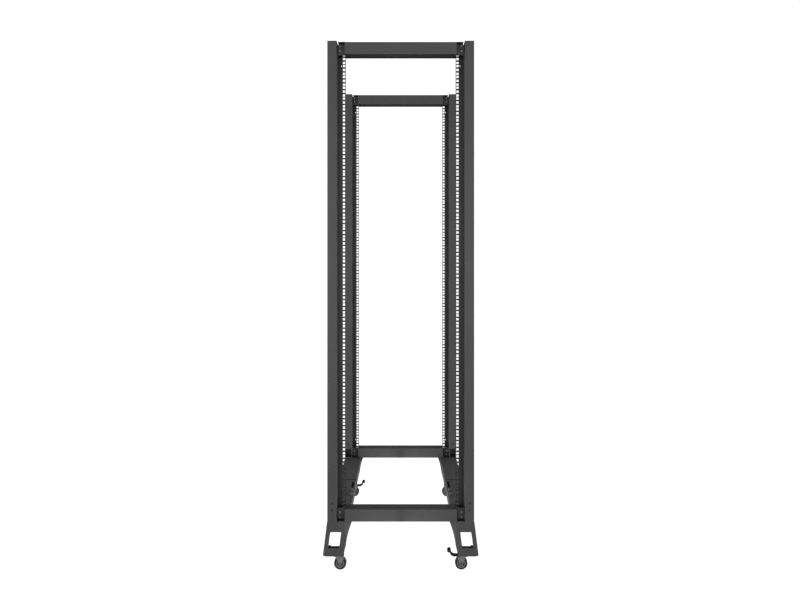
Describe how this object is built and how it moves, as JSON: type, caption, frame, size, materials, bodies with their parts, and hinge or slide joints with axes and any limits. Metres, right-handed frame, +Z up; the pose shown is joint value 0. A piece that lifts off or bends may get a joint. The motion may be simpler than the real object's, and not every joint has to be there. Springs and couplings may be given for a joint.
{
  "type": "open-frame equipment rack",
  "caption": "Open-frame 19-inch equipment rack on swivel casters, with square-hole mounting rails, bolted crossbars, flared legs and telescoping base rails.",
  "frame": {"origin": "on the floor, in the middle of the rack's footprint", "axes": "+X to the right as seen from the front, +Y from the front frame to the rear frame, +Z up"},
  "size_m": [0.627, 0.8118, 2.142],
  "materials": {
    "frame_paint": "fine-texture black powder coat",
    "crossbar_paint": "fine-texture black powder coat",
    "rail_paint": "fine-texture black powder coat",
    "base_paint": "fine-texture black powder coat",
    "leg_paint": "fine-texture black powder coat",
    "cap_plastic": "moulded black, light grain",
    "bright_screws": "bright zinc plate",
    "black_screws": "black oxide",
    "caster_zinc": "dull dark zinc plate",
    "hub_plastic": "grey nylon",
    "tread_rubber": "matte black",
    "pedal_plastic": "moulded black"
  },
  "bodies": {
    "front_frame": {"post_front_left": "frame_paint", "mounting_rail_front_left": "rail_paint", "base_rail_front_left": "base_paint", "leg_front_left": "leg_paint", "caster_plate_front_left": "caster_zinc", "post_front_right": "frame_paint", "mounting_rail_front_right": "rail_paint", "base_rail_front_right": "base_paint", "leg_front_right": "leg_paint", "caster_plate_front_right": "caster_zinc", "crossbar_front_top": "crossbar_paint", "crossbar_front_bottom": "crossbar_paint", "post_caps_front": "cap_plastic", "post_spigots_front": "frame_paint", "post_screws_front": "black_screws", "crossbar_screws_front": "bright_screws", "rail_screws_front": "black_screws", "leg_bolts_front": "bright_screws", "caster_bolts_front": "bright_screws", "caster_nuts_front": "bright_screws", "depth_clamp_bolts": "bright_screws", "depth_clamp_nuts": "bright_screws"},
    "rear_frame": {"post_rear_left": "frame_paint", "mounting_rail_rear_left": "rail_paint", "base_rail_rear_left": "base_paint", "leg_rear_left": "leg_paint", "caster_plate_rear_left": "caster_zinc", "post_rear_right": "frame_paint", "mounting_rail_rear_right": "rail_paint", "base_rail_rear_right": "base_paint", "leg_rear_right": "leg_paint", "caster_plate_rear_right": "caster_zinc", "crossbar_rear_top": "crossbar_paint", "crossbar_rear_bottom": "crossbar_paint", "post_caps_rear": "cap_plastic", "post_spigots_rear": "frame_paint", "post_screws_rear": "black_screws", "crossbar_screws_rear": "bright_screws", "rail_screws_rear": "black_screws", "leg_bolts_rear": "bright_screws", "caster_bolts_rear": "bright_screws", "caster_nuts_rear": "bright_screws"},
    "caster_front_left": {"caster_fork_front_left": "caster_zinc", "caster_axle_front_left": "bright_screws"},
    "wheel_front_left": {"wheel_hub_front_left": "hub_plastic", "wheel_tread_front_left": "tread_rubber"},
    "caster_front_right": {"caster_fork_front_right": "caster_zinc", "caster_axle_front_right": "bright_screws"},
    "wheel_front_right": {"wheel_hub_front_right": "hub_plastic", "wheel_tread_front_right": "tread_rubber"},
    "brake_front_right": {"brake_pedal_front_right": "pedal_plastic"},
    "caster_rear_left": {"caster_fork_rear_left": "caster_zinc", "caster_axle_rear_left": "bright_screws"},
    "wheel_rear_left": {"wheel_hub_rear_left": "hub_plastic", "wheel_tread_rear_left": "tread_rubber"},
    "brake_rear_left": {"brake_pedal_rear_left": "pedal_plastic"},
    "caster_rear_right": {"caster_fork_rear_right": "caster_zinc", "caster_axle_rear_right": "bright_screws"},
    "wheel_rear_right": {"wheel_hub_rear_right": "hub_plastic", "wheel_tread_rear_right": "tread_rubber"}
  },
  "joints": [
    {"name": "depth_adjust", "type": "slide", "parent": "front_frame", "child": "rear_frame", "axis": [0, 1, 0], "range_m": [-0.1, 0.13]},
    {"name": "swivel_front_left", "type": "hinge", "parent": "front_frame", "child": "caster_front_left", "pos_m": [-0.271, -0.3599, 0.06], "axis": [0, 0, 1], "continuous": true},
    {"name": "roll_front_left", "type": "hinge", "parent": "caster_front_left", "child": "wheel_front_left", "pos_m": [-0.247, -0.3599, 0.025], "axis": [0, 1, 0], "continuous": true},
    {"name": "swivel_front_right", "type": "hinge", "parent": "front_frame", "child": "caster_front_right", "pos_m": [0.271, -0.3599, 0.06], "axis": [0, 0, 1], "continuous": true},
    {"name": "roll_front_right", "type": "hinge", "parent": "caster_front_right", "child": "wheel_front_right", "pos_m": [0.247, -0.3599, 0.025], "axis": [0, 1, 0], "continuous": true},
    {"name": "brake_front_right", "type": "hinge", "parent": "caster_front_right", "child": "brake_front_right", "pos_m": [0.237, -0.3599, 0.055], "axis": [0, -1, 0], "range_deg": [0, 18]},
    {"name": "swivel_rear_left", "type": "hinge", "parent": "rear_frame", "child": "caster_rear_left", "pos_m": [-0.271, 0.3599, 0.06], "axis": [0, 0, 1], "continuous": true},
    {"name": "roll_rear_left", "type": "hinge", "parent": "caster_rear_left", "child": "wheel_rear_left", "pos_m": [-0.247, 0.3599, 0.025], "axis": [0, 1, 0], "continuous": true},
    {"name": "brake_rear_left", "type": "hinge", "parent": "caster_rear_left", "child": "brake_rear_left", "pos_m": [-0.237, 0.3599, 0.055], "axis": [0, 1, 0], "range_deg": [0, 18]},
    {"name": "swivel_rear_right", "type": "hinge", "parent": "rear_frame", "child": "caster_rear_right", "pos_m": [0.271, 0.3599, 0.06], "axis": [0, 0, 1], "continuous": true},
    {"name": "roll_rear_right", "type": "hinge", "parent": "caster_rear_right", "child": "wheel_rear_right", "pos_m": [0.247, 0.3599, 0.025], "axis": [0, 1, 0], "continuous": true}
  ]
}
